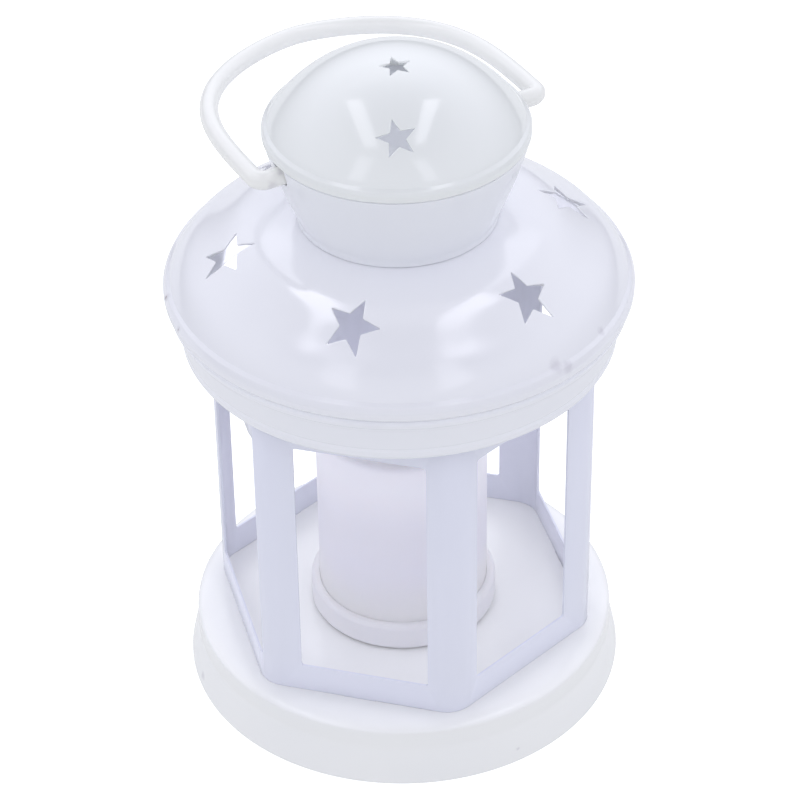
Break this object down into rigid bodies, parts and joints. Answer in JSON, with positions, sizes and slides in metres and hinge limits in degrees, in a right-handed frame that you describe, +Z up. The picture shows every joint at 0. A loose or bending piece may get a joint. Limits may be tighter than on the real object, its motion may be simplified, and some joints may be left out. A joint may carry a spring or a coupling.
{
  "type": "led lantern",
  "caption": "Small white hexagonal lantern with open windows, a star-punched domed roof, a capped chimney cup, a wire bail and a battery candle inside.",
  "frame": {"origin": "middle of the base's underside, on the lantern's upright axis, at the level of the foot", "axes": "+Z up; the front window faces -Y, and the hexagon's folds lie on +X and -X"},
  "size_m": [0.088, 0.088, 0.1363],
  "materials": {
    "white_paint": "glossy white enamel on sheet steel",
    "candle_plastic": "satin off-white moulded plastic",
    "flame_plastic": "translucent diffuser",
    "led_lens": "clear epoxy lens",
    "board_green": "green solder mask",
    "black_plastic": "black moulded plastic",
    "bright_steel": "bright nickel-plated steel",
    "spring_steel": "nickel-plated spring steel",
    "red_lead": "red insulated wire",
    "black_lead": "black insulated wire"
  },
  "bodies": {
    "base": {"base_pan": "white_paint"},
    "upper": {"hex_frame": "white_paint", "roof_skirt": "white_paint", "roof_shell": "white_paint", "chimney_cup": "white_paint", "cap_dome": "white_paint"},
    "handle": {"bail_handle": "white_paint"},
    "candle": {"candle_shell": "candle_plastic", "candle_housing": "candle_plastic", "flame_tip": "flame_plastic", "led": "led_lens", "lead_positive": "red_lead", "lead_negative": "black_lead", "circuit_board": "board_green", "battery": "bright_steel", "battery_holder": "black_plastic", "contact_negative": "spring_steel", "contact_positive": "spring_steel", "switch_body": "black_plastic"},
    "switch": {"switch_slider": "black_plastic"},
    "door": {"battery_door": "candle_plastic"}
  },
  "joints": [
    {"name": "upper_lift", "type": "slide", "parent": "base", "child": "upper", "axis": [0, 0, 1], "range_m": [0, 0.1]},
    {"name": "handle_swing", "type": "hinge", "parent": "upper", "child": "handle", "pos_m": [0, 0, 0.1195], "axis": [0.7169, 0.6972, 0], "range_deg": [-27, 205]},
    {"name": "candle_lift", "type": "slide", "parent": "base", "child": "candle", "axis": [0, 0, 1], "range_m": [0, 0.04]},
    {"name": "switch_slide", "type": "slide", "parent": "candle", "child": "switch", "axis": [1, 0, 0], "range_m": [0, 0.0022]},
    {"name": "door_twist", "type": "hinge", "parent": "candle", "child": "door", "pos_m": [0, 0, 0.014], "axis": [0, 0, 1], "range_deg": [0, 35]}
  ]
}
